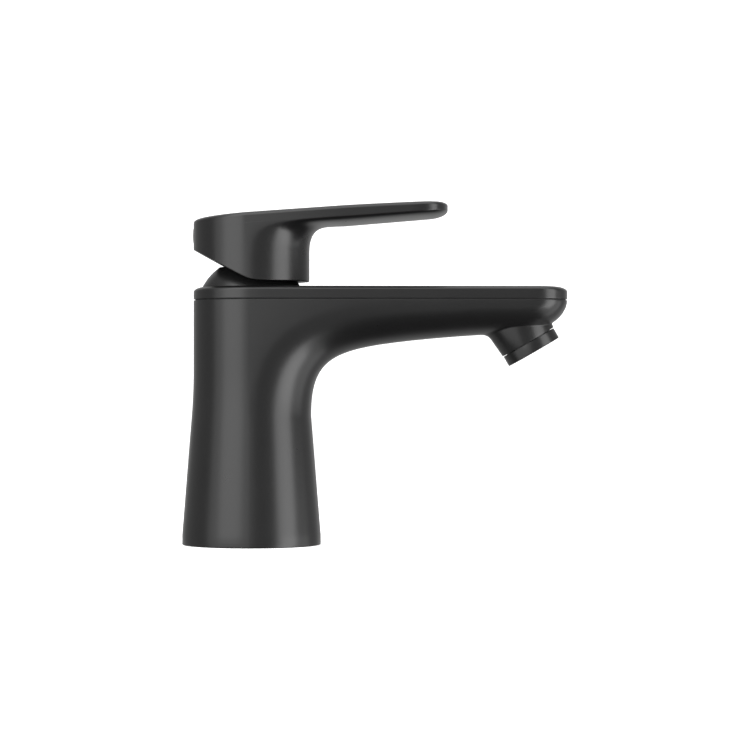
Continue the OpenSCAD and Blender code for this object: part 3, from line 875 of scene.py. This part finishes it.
def powder_black(name, shade, rough):
    """Fine satin powder coat: soft grain, slight unevenness and a faint polish on the edges."""
    spread = 0.008
    m = Nodes(name)
    cloud = m.noise(38, 4)
    grain = m.noise(5200, 2, 0.5)
    peel = m.noise(900, 2, 0.5)
    dark = tuple(shade * v for v in (0.93, 0.93, 0.95))
    light = tuple(shade * v for v in (1.08, 1.08, 1.09))
    coat = m.blend(m.span(cloud, 0, 1), dark, light)
    wear = m.span(m.edge_wear(0.51, 0.6), 0.0, 0.35, 0, 1)
    m.link(m.blend(wear, coat, grey(shade * 1.5)), m.shader, "Base Color")
    m.link(m.span(cloud, rough - spread, rough + spread), m.shader, "Roughness")
    m.shader.inputs["Specular IOR Level"].default_value = 0.5
    m.bumps([(peel, 0.04, 0.01), (grain, 0.12, 0.005)])
    return m.material


def moulded(name, colour, rough, grain_depth=0.01):
    """Injection-moulded plastic: fine texture and slight shade variation."""
    spread = 0.04
    m = Nodes(name)
    cloud = m.noise(60, 3)
    grain = m.noise(3200, 2)
    lighter = tuple(min(1.0, c * 1.12 + 0.004) for c in colour)
    m.link(m.blend(m.span(cloud, 0, 1), colour, lighter), m.shader, "Base Color")
    m.link(m.span(cloud, rough - spread, rough + spread), m.shader, "Roughness")
    m.bumps([(grain, 0.25, grain_depth)])
    return m.material


def metal(name, colour, rough, stretch=(1, 1, 30)):
    """Turned or drawn metal: fine lines, and blotches in its polish."""
    spread = 0.07
    m = Nodes(name)
    lines = m.noise(700, 2, 0.5, stretch)
    blotch = m.noise(90, 3)
    darker = tuple(c * 0.82 for c in colour)
    m.link(m.blend(m.span(blotch, 0, 1), darker, colour), m.shader, "Base Color")
    m.link(m.span(lines, rough - spread, rough + spread), m.shader, "Roughness")
    m.shader.inputs["Metallic"].default_value = 1.0
    m.bumps([(lines, 0.2, 0.01)])
    return m.material


def rubber(name, shade):
    """Seal rubber: matt, with moulding grain and dusty patches."""
    m = Nodes(name)
    dust = m.noise(130, 4)
    grain = m.noise(2600, 3)
    m.link(m.blend(m.span(dust, 0, 1), grey(shade), grey(shade * 1.8)), m.shader, "Base Color")
    m.link(m.span(dust, 0.62, 0.8), m.shader, "Roughness")
    m.bumps([(grain, 0.4, 0.015)])
    return m.material


def mesh_screen(name):
    """Woven steel screen: a fine square weave, with painted shade, near-black, in the openings between the
    wires.
    """
    m = Nodes(name)
    split = m.add("ShaderNodeSeparateXYZ")
    m.link(m.place, split, "Vector")
    waves = []
    pitches = {"Y": 0.62, "X": 0.54}
    for axis, pitch in pitches.items():
        turns = m.maths("MULTIPLY", split.outputs[axis])
        turns.inputs[1].default_value = 2 * math.pi / (pitch * MM)
        waves.append(m.maths("SINE", turns.outputs[0]).outputs[0])
    top = m.maths("MAXIMUM", *waves)
    wire = m.span(top.outputs[0], 0, 1, 0.2, 0.5)
    # painted shade: the openings between the wires are coloured near-black
    m.link(m.blend(wire, (0.01, 0.01, 0.01), (0.5, 0.51, 0.52)), m.shader, "Base Color")
    m.link(m.span(m.noise(400), 0.25, 0.45), m.shader, "Roughness")
    m.shader.inputs["Metallic"].default_value = 1.0
    m.bumps([(top.outputs[0], 0.6, 0.08)])
    return m.material


def dress(piece, material):
    """Gives a piece one material in place of its own."""
    piece.data.materials.clear()
    piece.data.materials.append(material)


def soften(piece):
    """Rounds the sharp edges of a piece a little."""
    bevel = piece.modifiers.new("soft_edges", "BEVEL")
    bevel.width = 0.12 * MM
    bevel.segments = 2
    bevel.limit_method = "ANGLE"
    bevel.angle_limit = math.radians(40)
    bevel.harden_normals = True


# ---------------------------------------------------------------- pieces

COAT = powder_black("powder_black", 0.009, 0.28)
CAP_COAT = powder_black("cap_black", 0.008, 0.3)
RING_BLACK = powder_black("ring_black", 0.009, 0.28)
SEAL = rubber("seal_rubber", 0.008)
BRASS = metal("turned_brass", (0.72, 0.53, 0.27), 0.3)
STEEL = metal("drawn_steel", (0.56, 0.57, 0.58), 0.28)
ZINC = metal("cast_zinc", (0.5, 0.51, 0.53), 0.42, (1, 1, 4))
ACETAL = moulded("acetal_cream", (0.72, 0.69, 0.6), 0.42)
CERAMIC = moulded("lapped_ceramic", (0.86, 0.85, 0.82), 0.16, 0.002)
RED = moulded("limit_red", (0.42, 0.02, 0.02), 0.4)
GREY = moulded("moulded_grey", (0.09, 0.09, 0.1), 0.45)
SCREEN = mesh_screen("woven_screen")


def add_piece(piece, carrier, node, material):
    """Rides a piece on a body in place of a CAD node."""
    dress(piece, material)
    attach(piece, carrier)
    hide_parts(node)


faucet = casting()
hollow_foot(faucet)
add_piece(faucet, "body", "faucet_body", COAT)
add_piece(cover_plate(), "body", "top_cover_plate", COAT)
add_piece(ball_cap(), "body", "dome_cap", CAP_COAT)
add_piece(aerator_ring(), "body", "aerator_housing", RING_BLACK)
add_piece(handle(), "lever", "lever_handle", COAT)
add_piece(hub_plug(), "lever", "set_screw_plug", RING_BLACK)

# the CAD nodes that keep their own shape
KEPT = {
    "inlet_block": BRASS, "cartridge_nut": BRASS,
    "block_seal": SEAL, "base_gasket": SEAL, "plate_gasket": SEAL, "dome_seal": SEAL,
    "base_seals": SEAL, "disc_seals": SEAL, "guide_seal": SEAL, "aerator_washer": SEAL,
    "cartridge_housing": ACETAL, "cartridge_base": ACETAL,
    "fixed_ceramic_disc": CERAMIC, "moving_ceramic_disc": CERAMIC,
    "temperature_limit_ring": RED,
    "stem_guide": GREY, "disc_coupler": GREY, "aerator_insert": GREY,
    "pivot_pin": STEEL, "handle_set_screw": STEEL, "cartridge_stem": ZINC,
    "aerator_screen": SCREEN,
}
for kept, finish in KEPT.items():
    dress(frame["nodes"][kept], finish)
soften(frame["nodes"]["cartridge_stem"])

# ---------------------------------------------------------------- studio

LIGHT_AIM = Vector((0.04, 0, 0.07))
LIGHT_DISTANCE = 1.1


def backdrop():
    """Pale floor that curves up into a round wall, the same from every side."""
    floor_r = 1200
    bend_r = 300
    wall_top = 1900
    profile = [(r, 0.0) for r in (40, 120, 400, 800, floor_r)]
    profile += [(floor_r + bend_r * math.sin(a), bend_r * (1 - math.cos(a)))
                for a in np.radians(np.arange(6, 91, 6))]
    profile.append((floor_r + bend_r, wall_top))
    skin = Skin()
    rows = [skin.row(turned(r, z)) for r, z in profile]
    skin.fill(rows[0])
    skin.chain(rows)
    sheet = skin.make("studio_backdrop", 60)
    paper = Nodes("studio_paper")
    shade = paper.span(paper.noise(3, 2), 0, 1)
    paper.link(paper.blend(shade, grey(0.86), grey(0.88)), paper.shader, "Base Color")
    paper.shader.inputs["Roughness"].default_value = 0.9
    paper.shader.inputs["Specular IOR Level"].default_value = 0.1
    paper.shader.inputs["Emission Color"].default_value = (1, 1, 1, 1)
    paper.shader.inputs["Emission Strength"].default_value = 0.6
    sheet.data.materials.append(paper.material)
    sheet.visible_glossy = False
    sheet.visible_diffuse = False
    sheet.visible_shadow = False


def softbox(name, azimuth, elevation, half_width, half_height, radiance):
    """Soft light at an azimuth from the camera's side (-Y) and an elevation, sized by its half angles."""
    light = bpy.data.lights.new(name, "AREA")
    light.shape = "RECTANGLE"
    light.size = 2 * LIGHT_DISTANCE * math.tan(math.radians(half_width))
    light.size_y = 2 * LIGHT_DISTANCE * math.tan(math.radians(half_height))
    light.energy = radiance * math.pi * light.size * light.size_y
    lamp = bpy.data.objects.new(name, light)
    bpy.context.scene.collection.objects.link(lamp)
    az = math.radians(azimuth)
    el = math.radians(elevation)
    away = Vector((math.sin(az) * math.cos(el), -math.cos(az) * math.cos(el), math.sin(el)))
    lamp.location = LIGHT_AIM + away * LIGHT_DISTANCE
    lamp.rotation_euler = away.to_track_quat("Z", "Y").to_euler()
    lamp.visible_camera = False


def room_light():
    """Even light from all round, dark from straight below."""
    world = bpy.data.worlds.new("studio_world")
    bpy.context.scene.world = world
    world.use_nodes = True
    tree = world.node_tree
    place = tree.nodes.new("ShaderNodeTexCoord")
    split = tree.nodes.new("ShaderNodeSeparateXYZ")
    height = tree.nodes.new("ShaderNodeMapRange")
    height.inputs["From Min"].default_value = -1
    ramp = tree.nodes.new("ShaderNodeValToRGB")
    # brightness from straight below, 0, over the horizon, 0.5, to straight above, 1
    shades = {0.0: 0.01, 0.07: 0.06, 0.16: 0.36, 0.5: 0.32, 0.8: 0.3, 1.0: 0.3}
    for spot, shade in shades.items():
        stop = ramp.color_ramp.elements.new(spot)
        stop.color = (*grey(shade), 1)
    ramp.color_ramp.elements.remove(ramp.color_ramp.elements[0])
    ramp.color_ramp.elements.remove(ramp.color_ramp.elements[-1])
    tree.links.new(place.outputs["Generated"], split.inputs["Vector"])
    tree.links.new(split.outputs["Z"], height.inputs["Value"])
    tree.links.new(height.outputs["Result"], ramp.inputs["Fac"])
    tree.links.new(ramp.outputs["Color"], tree.nodes["Background"].inputs["Color"])


def softboxes():
    """Two boxes at the front left, two at the front right, one above and one behind."""
    softbox("left_key", -36, 30, 22, 36, 1.44)
    softbox("left_fill", -38, 10, 37, 58, 1.02)
    softbox("right_key", 62.7, 1, 18.4, 46, 3.0)
    softbox("right_low", 82.7, -30, 31, 31, 1.0)
    softbox("top_box", 0, 88, 28, 28, 1.0)
    softbox("back_box", 180, 10, 35, 30, 0.2)


def camera():
    """Long lens at the height of the spout, square on to the faucet's side."""
    view = bpy.data.cameras.new("camera")
    view.sensor_width = 36
    view.lens = 134.9
    view.clip_end = 20
    eye = bpy.data.objects.new("camera", view)
    bpy.context.scene.collection.objects.link(eye)
    eye.location = (0.0469, -1.068, 0.0644)
    eye.rotation_euler = (math.radians(90), 0, 0)
    bpy.context.scene.camera = eye


backdrop()
room_light()
softboxes()
camera()
bpy.context.scene.view_settings.view_transform = "Standard"
